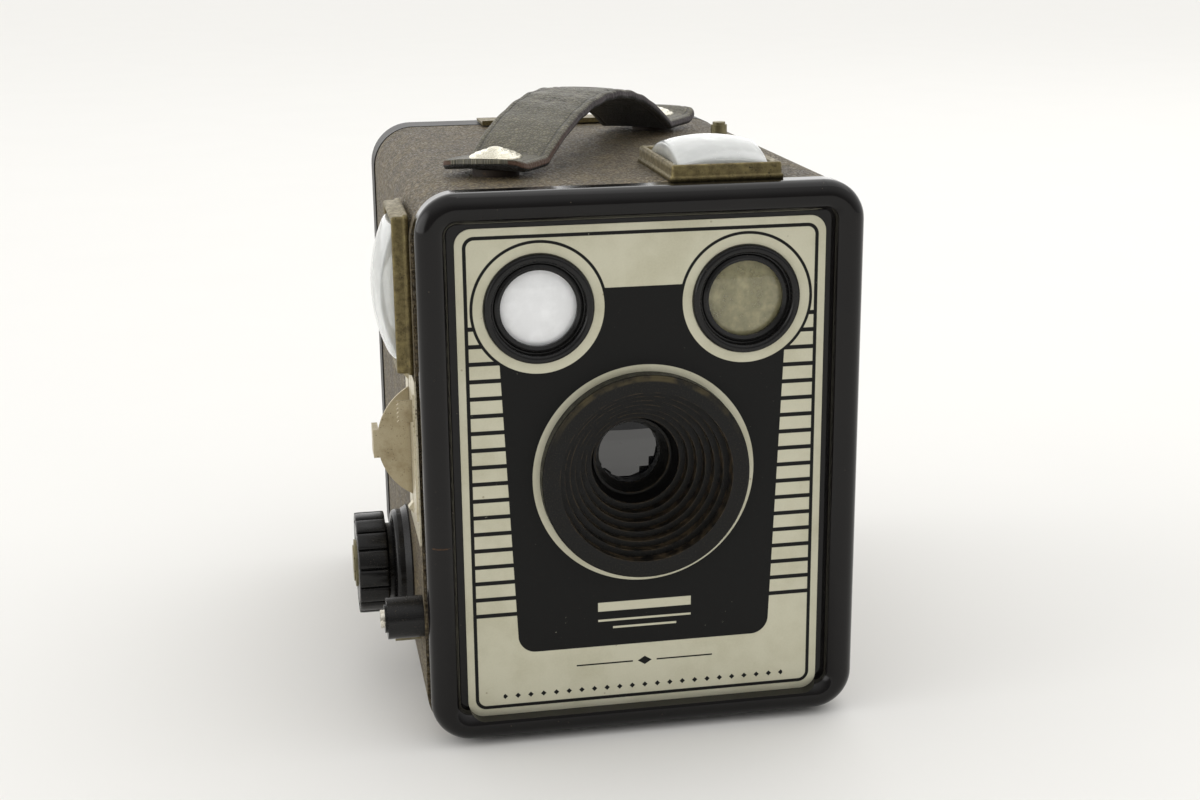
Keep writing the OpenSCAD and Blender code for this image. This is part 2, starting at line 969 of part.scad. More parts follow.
module winding_shaft() {
    color("#9b9788")
        union() {
            rod_x(shaft_r, -54, -34, knob_y, knob_z);
            block([-34 - tiny, -30.4], [knob_y - 1.9, knob_y + 1.9], [knob_z - 0.5, knob_z + 0.5]);
        }
}

module take_up_spool() {
    flange_w = 0.8;
    color("#6b2f24")
        difference() {
            union() {
                rod_x(3.3, -spool_half, spool_half, knob_y, knob_z);
                for (x = [-spool_half, spool_half - flange_w])
                    rod_x(spool_r, x, x + flange_w, knob_y, knob_z);
            }
            block([-spool_half - 1, -spool_half + 3.4], [knob_y - 2.2, knob_y + 2.2],
                  [knob_z - 0.75, knob_z + 0.75]);
            rod_x(pin_r + running, spool_half - 3.8, spool_half + 1, knob_y, knob_z);
            block([-12, 12], [knob_y - 4, knob_y + 4], [knob_z - 0.4, knob_z + 0.4]);
        }
}

// ---------- strap ----------

module along_strap() {
    translate([strap_front[0], strap_front[1], 0])
        rotate([0, 0, strap_angle])
            children();
}

function bow(s) = max(0, 1 - pow((2 * s - bow_start - bow_end) / (bow_end - bow_start), 2));

module strap() {
    first = -strap_end;
    last = rivet_pitch + strap_end;
    steps = 38;
    places = [for (k = [0:steps]) first + (last - first) * k / steps];
    top = [for (s = places) [s, strap_low + strap_rise * bow(s)]];
    bottom = [for (k = [steps:-1:0]) [places[k], strap_low - strap_t + strap_rise * bow(places[k])]];
    color("#45423a")
        difference() {
            along_strap()
                prism_y(-strap_w / 2, strap_w / 2)
                    polygon(concat(top, bottom));
            along_strap()
                for (s = [0, rivet_pitch])
                    rod_z(rivet_shank + running, 100, 130, s, 0);
        }
}

module strap_rivets() {
    color("#c9c3b3")
        along_strap()
            for (s = [0, rivet_pitch])
                translate([s, 0, 0])
                    rotate_extrude() {
                        translate([0, strap_low])
                            square([rivet_r, 0.55]);
                        translate([0, strap_low + 0.5])
                            square([rivet_r - 1.3, 0.5]);
                        translate([0, strap_low + 0.95])
                            square([rivet_r - 2.6, 0.5]);
                        translate([0, inner_z1])
                            square([rivet_shank, strap_low - inner_z1 + tiny]);
                        translate([0, inner_z1 - 0.8])
                            square([3, 0.8]);
                    }
}

module strap_spacers() {
    color("#2b2824")
        along_strap()
            for (s = [0, rivet_pitch])
                translate([s, 0, body_h])
                    rotate_extrude()
                        translate([rivet_shank + running, 0])
                            square([3.2, strap_low - strap_t - body_h]);
}

module top_peg() {
    color("#a08c4e")
        union() {
            rod_z(1.8, inner_z1 - tiny, body_h + 3.8, peg_x, peg_y);
            rod_z(1.4, body_h + 3.8 - tiny, body_h + 4.4, peg_x, peg_y);
            rod_z(2.8, inner_z1 - 0.7, inner_z1, peg_x, peg_y);
        }
}

// ---------- back ----------

// knuckles at every second place along the hinge
module knuckles(places) {
    for (k = places)
        rod_x(knuckle_r, (k - 2.5) * knuckle_len + 0.15, (k - 1.5) * knuckle_len - 0.15, hinge_y, hinge_z);
}

module pin_hole() {
    rod_x(hinge_pin_r + running, -60, 60, hinge_y, hinge_z);
}

module body_hinge_leaf() {
    half = 2.5 * knuckle_len - 0.15;
    color("#55524a")
        difference() {
            union() {
                block([-half, half], [44, hinge_y - knuckle_r - 0.3], [inner_z0, inner_z0 + 0.5]);
                knuckles([0, 2, 4]);
                for (k = [0, 2, 4])
                    block([(k - 2.5) * knuckle_len + 0.15, (k - 1.5) * knuckle_len - 0.15],
                          [hinge_y - knuckle_r - 0.4, hinge_y], [inner_z0, inner_z0 + 0.5]);
            }
            pin_hole();
        }
}

module door_hinge_leaf() {
    leaf_z0 = door_z0 + door_t;
    color("#55524a")
        difference() {
            union() {
                block([-2.5 * knuckle_len, 2.5 * knuckle_len],
                      [hinge_y + knuckle_r + 0.3, door_back - door_t], [leaf_z0, leaf_z0 + 0.5]);
                knuckles([1, 3]);
                for (k = [1, 3])
                    block([(k - 2.5) * knuckle_len + 0.15, (k - 1.5) * knuckle_len - 0.15],
                          [hinge_y, hinge_y + knuckle_r + 0.4], [leaf_z0, leaf_z0 + 0.5]);
            }
            pin_hole();
        }
}

module hinge_pin() {
    color("#9b9788")
        rod_x(hinge_pin_r, -2.5 * knuckle_len, 2.5 * knuckle_len, hinge_y, hinge_z);
}

module door_pan() {
    color("#141416")
        difference() {
            prism_y(door_front, door_back)
                rounded_rect(-door_x, door_x, door_z0, door_z1, door_r);
            prism_y(door_front - 1, door_back - door_t)
                rounded_rect(-door_x + door_t, door_x - door_t, door_z0 + door_t, door_z1 - door_t,
                             door_r - door_t);
            block([-60, 60], [door_front - 1, hinge_y + knuckle_r + 0.25], [-1, 3.2]);
            rod_y(6.2, door_back - 2, door_back + 1, 0, window_z);
        }
}

module door_covering() {
    color("#3b3431")
        prism_y(door_back, door_back + 0.5)
            difference() {
                rounded_rect(-door_x + 1, door_x - 1, door_z0 + 1, door_z1 - 1, door_r - 1);
                translate([0, window_z])
                    circle(8.4);
            }
}

module red_window() {
    color("#8c1c14")
        rod_y(6.15, door_back - 0.7, door_back - 0.1, 0, window_z);
}

module window_ring() {
    color("#1a1a1c")
        turned_y(0, door_back, window_z)
            difference() {
                translate([5.4, -0.8])
                    square([2.9, 0.8]);
                translate([7.6, -0.8])
                    rotate([0, 0, 40])
                        translate([0, -1])
                            square([2, 1]);
            }
}

module catch_bracket() {
    color("#55524a")
        block([-9, 9], [55.8, 58.4], [door_z1, door_z1 + 1.1]);
}

module door_catch() {
    z0 = door_z1 + 0.3;
    color("#8b8368")
        union() {
            block([-catch_half, catch_half], [catch_y0, catch_y1], [z0, z0 + 2 * catch_bead]);
            block([-catch_half, catch_half], [catch_y0, catch_y0 + 0.6], [z0, z0 + 1.1]);
            rod_x(catch_bead, -catch_half, catch_half, catch_y1, z0 + catch_bead);
        }
}

// ---------- assembly ----------

body_shell();
side_covering();
base_covering();
front_bezel();
front_plate();
lens_hood();
finder_ring_left();
finder_ring_right();
finder_lens_left();
finder_lens_right();
finder_housing();
top_mirror();
side_mirror();
top_finder_frame();
top_finder_glass();
side_finder_frame();
side_finder_glass();
taking_lens();
lens_retainer();
lens_board();
board_spacers();
shutter_board();
board_screws();
side_escutcheon();
flash_socket();
flash_contact();
flash_pin();
light_cone();
carrier_side_left();
carrier_side_right();
film_gate();
spool_pin();
supply_pins();
shaft_bush();
knob_seat();
strap();
strap_rivets();
strap_spacers();
top_peg();
body_hinge_leaf();
hinge_pin();
lever_spring();
door_pan();
door_covering();
red_window();
window_ring();
door_hinge_leaf();
catch_bracket();
door_catch();
shaft_sleeve();
winding_knob();
knob_disc();
winding_shaft();
take_up_spool();
shutter_lever();
shutter_disc();
close_up_lever();
close_up_lens();
upper_roller();
lower_roller();
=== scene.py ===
import json
import math
import bpy
import bmesh
from mathutils import Matrix, Vector


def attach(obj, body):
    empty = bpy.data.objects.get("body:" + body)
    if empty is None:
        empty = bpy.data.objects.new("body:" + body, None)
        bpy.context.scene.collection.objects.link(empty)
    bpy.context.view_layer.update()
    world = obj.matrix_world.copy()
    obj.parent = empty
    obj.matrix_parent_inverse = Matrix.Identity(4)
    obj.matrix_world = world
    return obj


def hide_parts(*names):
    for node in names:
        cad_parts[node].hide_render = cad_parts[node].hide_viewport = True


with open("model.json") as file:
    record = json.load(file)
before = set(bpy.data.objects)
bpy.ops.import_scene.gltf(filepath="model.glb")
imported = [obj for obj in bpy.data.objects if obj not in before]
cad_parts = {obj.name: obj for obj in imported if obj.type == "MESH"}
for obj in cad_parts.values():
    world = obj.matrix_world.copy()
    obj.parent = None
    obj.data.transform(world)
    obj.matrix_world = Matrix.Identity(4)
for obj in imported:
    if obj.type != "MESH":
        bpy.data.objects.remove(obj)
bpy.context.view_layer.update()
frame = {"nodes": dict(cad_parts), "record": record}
nodes = frame["nodes"]
mm = 0.001
print("stage: frame loaded,", len(nodes), "nodes")


def paint(red, green, blue):
    # screen colour, 0 to 255, to the linear colour that shaders use
    def linear(c):
        c = c / 255
        return c / 12.92 if c <= 0.04045 else ((c + 0.055) / 1.055) ** 2.4
    return (linear(red), linear(green), linear(blue), 1.0)


def steel(level, warm=0.0):
    return (level, level * (1 - 0.5 * warm), level * (1 - warm), 1.0)


class Link:
    # a node's output that can be added, scaled and compared like a number
    def __init__(self, finish, socket):
        self.finish = finish
        self.socket = socket

    def calc(self, operation, first, second=0.0):
        return self.finish.node("ShaderNodeMath", {"operation": operation}, {0: first, 1: second})

    def __add__(self, other):
        return self.calc("ADD", self, other)

    def __radd__(self, other):
        return self.calc("ADD", other, self)

    def __sub__(self, other):
        return self.calc("SUBTRACT", self, other)

    def __rsub__(self, other):
        return self.calc("SUBTRACT", other, self)

    def __mul__(self, other):
        return self.calc("MULTIPLY", self, other)

    def __rmul__(self, other):
        return self.calc("MULTIPLY", other, self)

    def __truediv__(self, other):
        return self.calc("DIVIDE", self, other)

    def __rtruediv__(self, other):
        return self.calc("DIVIDE", other, self)

    def __pow__(self, other):
        return self.calc("POWER", self, other)

    def __abs__(self):
        return self.calc("ABSOLUTE", self)

    def atLeast(self, other):
        return self.calc("MAXIMUM", self, other)

    def atMost(self, other):
        return self.calc("MINIMUM", self, other)

    def rises(self, start, end):
        # 0 up to start, 1 from end on, smooth between; start may be the larger one
        low, high = min(start, end), max(start, end)
        up = self.finish.node("ShaderNodeMapRange", {"interpolation_type": "SMOOTHSTEP"},
                              {"Value": self, "From Min": low, "From Max": high})
        return up if start <= end else 1 - up

    def band(self, middle, half, soft):
        return abs(self - middle).rises(half + soft, half - soft)


class Finish:
    def __init__(self, name, fixed):
        self.material = bpy.data.materials.new(name)
        self.material.use_nodes = True
        self.tree = self.material.node_tree
        self.tree.nodes.clear()
        self.shader = self.tree.nodes.new("ShaderNodeBsdfPrincipled")
        out = self.tree.nodes.new("ShaderNodeOutputMaterial")
        self.tree.links.new(self.shader.outputs[0], out.inputs[0])
        for socket, value in fixed.items():
            self.shader.inputs[socket].default_value = value
        self.place = self.node("ShaderNodeTexCoord", {}, {}, "Object")
        self.parts = {}

    def node(self, kind, settings, values, out=0):
        made = self.tree.nodes.new(kind)
        for key, value in settings.items():
            setattr(made, key, value)
        for key, value in values.items():
            if isinstance(value, Link):
                self.tree.links.new(value.socket, made.inputs[key])
            else:
                made.inputs[key].default_value = value
        return Link(self, made.outputs[out])

    def feed(self, **links):
        # Base_Color and so on, the sockets that vary over the surface
        for key, value in links.items():
            self.tree.links.new(value.socket, self.shader.inputs[key.replace("_", " ")])

    def axis(self, letter):
        # the place along one axis, in millimetres
        if not self.parts:
            split = self.node("ShaderNodeSeparateXYZ", {}, {0: self.place})
            for at, key in enumerate("xyz"):
                self.parts[key] = Link(self, split.socket.node.outputs[at]) * 1000.0
        return self.parts[letter]

    def vector(self, operation, values):
        return self.node("ShaderNodeVectorMath", {"operation": operation}, values)

    def stretched(self, x, y, z, place=None):
        return self.vector("MULTIPLY", {0: place or self.place, 1: (x, y, z)})

    def noise(self, size, detail=2.0, rough=0.5, place=None, warp=0.0):
        return self.node("ShaderNodeTexNoise", {},
                         {"Vector": place or self.place, "Scale": 1000 / size, "Detail": detail,
                          "Roughness": rough, "Distortion": warp})

    def cells(self, size, feature="F1", place=None):
        return self.node("ShaderNodeTexVoronoi", {"feature": feature},
                         {"Vector": place or self.place, "Scale": 1000 / size})

    def warped(self, size, amount, place=None):
        # the place pushed about by noise, amount in millimetres
        push = self.node("ShaderNodeTexNoise", {}, {"Vector": place or self.place, "Scale": 1000 / size}, 1)
        centred = self.vector("SUBTRACT", {0: push, 1: (0.5, 0.5, 0.5)})
        scaled = self.vector("SCALE", {0: centred, "Scale": amount * mm * 2})
        return self.vector("ADD", {0: place or self.place, 1: scaled})

    def mix(self, factor, first, second):
        return self.node("ShaderNodeMix", {"data_type": "RGBA"}, {0: factor, 6: first, 7: second}, 2)

    def bump(self, height, depth):
        return self.node("ShaderNodeBump", {}, {"Height": height, "Strength": 1.0, "Distance": depth * mm})

    def length(self, a, b):
        return (a * a + b * b) ** 0.5


coveringLook = {"grain": 0.95, "wrinkle": 2.2, "depth": 0.45}


def makeCovering():
    # dark imitation leather with a fine pebbled grain and short creases
    f = Finish("grainedCovering", {"Specular IOR Level": 0.5})
    bent = f.warped(1.5, 0.45)
    pebble = f.cells(coveringLook["grain"], "DISTANCE_TO_EDGE", bent).rises(0.02, 0.30)
    crease = f.noise(coveringLook["wrinkle"], 3.0, 0.6, f.stretched(1.0, 0.55, 1.0, bent), 1.2)
    vein = abs(crease - 0.5).rises(0.0, 0.09)
    fine = f.noise(0.16, 2.0)
    height = pebble * 0.5 + vein * 0.7 + fine * 0.18
    drift = f.noise(14, 3.0)
    top = f.mix(drift.rises(0.3, 0.7), paint(100, 86, 58), paint(122, 107, 74))
    rub = f.noise(5, 4.0, 0.65).rises(0.56, 0.75)
    worn = f.mix(rub * pebble * 0.35, top, paint(148, 130, 96))
    colour = f.mix(0.25 + pebble * 0.4 + vein * 0.35, paint(32, 27, 20), worn)
    f.feed(Base_Color=colour, Roughness=0.38 + drift * 0.12 + (1 - pebble) * 0.25,
           Normal=f.bump(height, coveringLook["depth"]))
    return f.material


def makeGlossBlack():
    # baked black enamel: specks of dust, faint hairlines, one long scratch at the left
    f = Finish("glossEnamel", {"Specular IOR Level": 0.27, "IOR": 1.5})
    x, y, z = f.axis("x"), f.axis("y"), f.axis("z")
    haze = f.noise(9, 3.0)
    speck = f.cells(1.5, "F1").rises(0.10, 0.03) * f.noise(5, 2.0).rises(0.50, 0.66)
    line = f.noise(1.6, 2.0, 0.5, f.stretched(1, 1, 0.05))
    hair = abs(line - 0.5).rises(0.010, 0.0) * f.noise(7, 1.0).rises(0.56, 0.70)
    wander = z - 42.6 + (x + 41) * 0.05
    scratch = abs(wander).rises(0.24, 0.06) * x.rises(-42.6, -42.0) * x.rises(-38.4, -39.6)
    chip = scratch * f.noise(0.9, 3.0, 0.7).rises(0.42, 0.55)
    rear = y.rises(-54.0, -53.55) * f.noise(1.4, 3.0).rises(0.50, 0.62)
    colour = f.mix(haze, paint(10, 8, 9), paint(19, 17, 16))
    colour = f.mix(speck * 0.5, colour, paint(120, 110, 95))
    colour = f.mix(rear * 0.6, colour, paint(96, 72, 46))
    colour = f.mix(chip * 0.4, colour, paint(104, 74, 46))
    rough = 0.07 + haze * 0.09 + speck * 0.5 + hair * 0.14 + chip * 0.5
    ripple = f.noise(6, 2.0) * 0.5 + haze * 0.5
    f.feed(Base_Color=colour, Roughness=rough, Normal=f.bump(ripple + hair * -0.02, 0.045))
    return f.material


plateLook = {"lensHeight": 54.2, "finderOut": 20.27, "finderHeight": 88.33, "pitch": 3.42, "firstLine": 85.0}


def makePrintedPlate():
    # satin cream metal with a black print: border, stripes, panel and rings, and plain rules low down
    f = Finish("printedPlate", {"Specular IOR Level": 0.24})
    x, z = f.axis("x"), f.axis("z")
    side = abs(x)
    wobble = (f.noise(0.5, 2.0) - 0.5) * 0.05
    soft = 0.05

    def roundBox(halfX, midZ, halfZ, radius):
        a, b = side - (halfX - radius), abs(z - midZ) - (halfZ - radius)
        return f.length(a.atLeast(0.0), b.atLeast(0.0)) + a.atLeast(b).atMost(0.0) - radius

    border = (roundBox(34.2, 54.75, 47.55, 1.9) + wobble).band(0.0, 0.35, soft)
    # the panel narrows downwards and has round lower corners
    out = side - (28.05 - 0.043 * (77.8 - z))
    down = 18.4 - z
    corner = 3.4
    low = f.length((out + corner).atLeast(0.0), (down + corner).atLeast(0.0)) \
        + (out + corner).atLeast(down + corner).atMost(0.0) - corner
    panel = (low.atLeast(z - 91.8) + wobble).rises(soft, -soft)
    step = plateLook["pitch"]
    rung = (z - plateLook["firstLine"]) / step + 0.5
    near = abs(rung.calc("FRACT", rung) - 0.5) * step
    stripes = near.rises(0.42 + soft, 0.42 - soft) * side.rises(34.25, 34.15) \
        * z.rises(26.3, 26.4) * z.rises(85.6, 85.5)
    ink = border.atLeast(panel).atLeast(stripes)
    ring = f.length(side - plateLook["finderOut"], z - plateLook["finderHeight"]) + wobble
    ink = ink * ring.rises(13.1 - soft, 13.1 + soft)
    ink = ink.atLeast(ring.band(12.92, 0.29, soft))
    lens = f.length(x, z - plateLook["lensHeight"]) + wobble
    ink = ink * lens.rises(22.16 - soft, 22.16 + soft)
    # plain rules and lozenges where the maker would print a name
    def rule(middle, half, thick):
        return abs(z - middle).rises(thick + soft, thick - soft) * side.rises(half + soft, half - soft)
    light = rule(26.8, 9.5, 0.95).atLeast(rule(23.9, 9.5, 0.22)).atLeast(rule(22.3, 6.5, 0.22))
    ink = ink * (1 - light)
    gem = (side + abs(z - 14.6) * 1.6).rises(1.5, 1.4)
    gem = gem.atLeast(rule(14.6, 14.0, 0.16) * side.rises(2.4, 2.5))
    beat = x / 2.6 + 0.5
    dots = (abs(beat.calc("FRACT", beat) - 0.5) * 2.6 + abs(z - 9.3)).rises(0.62, 0.52)
    dots = dots * side.rises(29.0, 28.9)
    ink = ink.atLeast(gem).atLeast(dots)
    rubbed = f.noise(1.1, 4.0, 0.7).rises(0.68, 0.76) * f.noise(12, 2.0).rises(0.45, 0.65)
    ink = ink * (1 - rubbed * 0.55)

    grain = f.noise(0.35, 2.0)
    stain = f.noise(11, 4.0, 0.6).rises(0.40, 0.72)
    spot = f.cells(3.2, "F1").rises(0.09, 0.04) * f.noise(8, 1.0).rises(0.52, 0.6)
    cream = f.mix(stain * 0.7, paint(206, 203, 180), paint(186, 182, 155))
    cream = f.mix(grain * 0.35, cream, paint(228, 225, 206))
    cream = f.mix(spot * 0.5, cream, paint(128, 110, 78))
    dust = f.noise(0.45, 3.0, 0.7).rises(0.62, 0.78)
    black = f.mix(dust * 0.2, paint(13, 13, 12), paint(54, 52, 44))
    f.feed(Base_Color=f.mix(ink, cream, black), Metallic=(1 - ink) * 0.38,
           Roughness=0.42 + ink * 0.14 + grain * 0.08,
           Normal=f.bump(ink * 0.6 + grain * 0.35, 0.03))
    return f.material


hoodLook = {"mouth": 17.2, "floor": 10.4, "steps": 6}


def makeHoodBlack():
    # moulded black with dust and brown wear on every step's edge
    f = Finish("steppedHood", {"Specular IOR Level": 0.24})
    x, y, z = f.axis("x"), f.axis("y"), f.axis("z")
    away = f.length(x, z - plateLook["lensHeight"])
    pitch = (hoodLook["mouth"] - hoodLook["floor"]) / (hoodLook["steps"] - 1)
    turn = (away - hoodLook["floor"]) / pitch + 0.5
    edge = (abs(turn.calc("FRACT", turn) - 0.5) * pitch).rises(0.26, 0.03)
    inside = away.rises(17.5, 17.2)
    patch = f.noise(2.6, 4.0, 0.7).rises(0.38, 0.66)
    dust = f.noise(0.3, 3.0, 0.7).rises(0.5, 0.72)
    rim = y.rises(-59.55, -59.85) * away.rises(19.3, 19.8)
    brass = rim * f.noise(4.5, 3.0, 0.6).rises(0.30, 0.62) * z.rises(60, 74)
    lines = f.node("ShaderNodeMath", {"operation": "SINE"}, {0: away * 19.0})
    colour = f.mix(patch * 0.5, paint(8, 8, 8), paint(19, 18, 15))
    colour = f.mix(edge * inside * patch * 0.45, colour, paint(92, 78, 58))
    colour = f.mix(dust * 0.11, colour, paint(122, 112, 90))
    colour = f.mix(brass * 0.6, colour, paint(96, 86, 60))
    f.feed(Base_Color=colour, Roughness=0.30 + patch * 0.16 + dust * 0.2, Metallic=brass * 0.3,
           Normal=f.bump(lines * 0.12 * inside + dust * 0.4 + patch * 0.3, 0.05))
    return f.material


def makeGlossPlastic(name, tint, rough, dusty):
    f = Finish(name, {"Specular IOR Level": 0.3})
    haze = f.noise(4, 3.0)
    dust = f.noise(0.28, 3.0, 0.7).rises(0.60, 0.78) * f.noise(3.0, 2.0).rises(0.40, 0.62)
    hair = abs(f.noise(0.9, 1.0, 0.5, f.stretched(0.12, 1, 1)) - 0.5).rises(0.012, 0.0)
    colour = f.mix(haze, tint, steel(tint[0] * 1.9 + 0.003, 0.1))
    colour = f.mix(dust * dusty, colour, paint(140, 126, 104))
    f.feed(Base_Color=colour, Roughness=rough + haze * 0.1 + dust * 0.35 + hair * 0.12,
           Normal=f.bump(haze * 0.5 + dust * 0.2 - hair * 0.15, 0.03))
    return f.material


def makeAgedMetal(name, clean, tarnish, pit, share, rough, metallic=0.9, grain=1.0, spread=3.0):
    # plated metal that has gone dull in patches, with small dark pits
    f = Finish(name, {"Specular IOR Level": 0.5})
    patch = f.noise(spread, 6.0, 0.72).rises(0.60 - share * 0.5, 0.86 - share * 0.2)
    fine = f.noise(0.33 * grain, 3.0, 0.65)
    pits = f.cells(0.85 * grain, "F1", f.warped(1.0, 0.4)).rises(0.30, 0.12)
    pits = pits * f.noise(2.2, 3.0).rises(0.44, 0.60)
    drawn = f.noise(0.5, 2.0, 0.5, f.stretched(0.08, 1.0, 1.0))
    colour = f.mix(patch, clean, tarnish)
    colour = f.mix(fine.rises(0.35, 0.7) * 0.35, colour, tarnish)
    colour = f.mix(pits * 0.85, colour, pit)
    f.feed(Base_Color=colour, Metallic=metallic * (1 - pits * 0.7) * (1 - patch * 0.35),
           Roughness=rough + patch * 0.22 + pits * 0.25 + drawn * 0.08,
           Normal=f.bump(fine * 0.35 + drawn * 0.15 - pits * 0.8 - patch * 0.2, 0.04))
    return f.material


def makeGlass(name, tint, rough, dusty, dustAndGlareTint, specks=0.5, veil=0.0):
    f = Finish(name, {"Transmission Weight": 1.0, "IOR": 1.52, "Specular IOR Level": 0.5})
    film = f.noise(3.5, 4.0, 0.6).rises(0.35, 0.8)
    speck = f.cells(0.8, "F1").rises(0.14, 0.05) * f.noise(2.5, 2.0).rises(0.5, 0.62)
    cover = (veil + film * dusty + speck * specks).atMost(1.0)
    f.feed(Base_Color=f.mix(film * dusty, tint, dustAndGlareTint),
           Roughness=rough + film * dusty * 0.1 + speck * specks * 0.3,
           Normal=f.bump(film, 0.002))
    # a thin dull film lies over the glass: dust in patches, plus an even film of the amount veil; on the
    # finder domes and the left front finder lens this film is near-white, a painted reflection of the bright
    # surroundings
    dull = f.tree.nodes.new("ShaderNodeBsdfPrincipled")
    dull.inputs["Base Color"].default_value = dustAndGlareTint
    dull.inputs["Roughness"].default_value = 0.7
    dull.inputs["Coat Weight"].default_value = 1.0
    dull.inputs["Coat Roughness"].default_value = 0.03
    joined = f.node("ShaderNodeMixShader", {},
                    {0: cover, 1: Link(f, f.shader.outputs[0]), 2: Link(f, dull.outputs[0])})
    out = [n for n in f.tree.nodes if n.type == "OUTPUT_MATERIAL"][0]
    f.tree.links.new(joined.socket, out.inputs[0])
    return f.material


def makeLens():
    # looks almost black, because only the dark inside of the camera is behind it
    f = Finish("lensGlass", {"Specular IOR Level": 0.9, "IOR": 1.62})
    bloom = f.noise(4, 3.0)
    mote = f.cells(1.6, "F1").rises(0.09, 0.04)
    glass = f.mix(bloom, paint(9, 10, 13), paint(18, 18, 20))
    f.feed(Base_Color=f.mix(mote * 0.5, glass, paint(120, 116, 106)),
           Roughness=0.015 + bloom * 0.02 + mote * 0.4)
    return f.material


def makePainted(name, tint, worn, rough, share=0.3):
    # thin paint on sheet metal, scuffed in patches
    f = Finish(name, {"Specular IOR Level": 0.3})
    drift = f.noise(9, 3.0)
    scuff = f.noise(1.6, 5.0, 0.7).rises(0.72 - share * 0.3, 0.84 - share * 0.3)
    peel = f.noise(0.45, 2.0)
    colour = f.mix(drift * 0.5, tint, worn)
    colour = f.mix(scuff * 0.6, colour, worn)
    f.feed(Base_Color=colour, Roughness=rough + drift * 0.12 + scuff * 0.15,
           Normal=f.bump(peel * 0.3 - scuff * 0.4, 0.03))
    return f.material


def makeMirror():
    f = Finish("finderMirror", {"Specular IOR Level": 0.5})
    bloom = f.noise(4, 4.0, 0.6).rises(0.5, 0.8)
    f.feed(Base_Color=f.mix(bloom * 0.5, paint(238, 240, 238), paint(170, 160, 132)),
           Metallic=1 - bloom * 0.2, Roughness=0.03 + bloom * 0.15)
    return f.material


def makeStrapLeather():
    # reads the strap's own flat map: along it in u, across it in v, both in metres
    f = Finish("strapLeather", {"Specular IOR Level": 0.5, "Sheen Weight": 0.04})
    flat = f.node("ShaderNodeUVMap", {"uv_map": "strapMap"}, {})
    f.place = flat
    u, v = f.axis("x"), f.axis("y")
    side = abs(v)
    bent = f.warped(1.0, 0.3, flat)
    pore = f.cells(0.72, "DISTANCE_TO_EDGE", bent).rises(0.02, 0.26)
    crease = f.noise(1.5, 3.0, 0.6, f.stretched(1.0, 0.22, 1.0, bent), 0.8)
    worry = u.rises(14, 30) * u.rises(66, 48)
    crack = abs(crease - 0.5).rises(0.05, 0.0) * (0.25 + worry * 0.75)
    groove = side.band(7.3, 0.22, 0.14)
    edge = side.rises(8.55, 8.9)
    drift = f.noise(9, 3.0, 0.6, flat)
    rub = f.noise(3.0, 4.0, 0.65, flat).rises(0.50, 0.74)
    dye = f.mix(drift, paint(90, 87, 70), paint(116, 111, 90))
    dye = f.mix(rub * 0.65, dye, paint(146, 139, 115))
    dye = f.mix(crack * 0.7, dye, paint(30, 26, 22))
    dye = f.mix((1 - pore) * 0.55, dye, paint(32, 28, 24))
    dye = f.mix(groove * 0.5, dye, paint(30, 28, 24))
    cut = f.mix(u.rises(2, 22), paint(74, 50, 34), paint(52, 44, 46))
    # painted shadow: the faces of the strap that point downwards are painted near-black
    under = f.node("ShaderNodeNewGeometry", {}, {}, "Normal")
    facing = f.node("ShaderNodeSeparateXYZ", {}, {0: under}, "Z")
    colour = f.mix(edge, dye, cut)
    colour = f.mix(facing.rises(0.0, -0.3), colour, paint(26, 24, 23))
    f.feed(Base_Color=colour, Roughness=0.40 + drift * 0.14 + crack * 0.2 + edge * 0.25,
           Normal=f.bump(pore * 0.5 - crack * 0.7 - groove * 0.9 + drift * 0.3, 0.22))
    return f.material


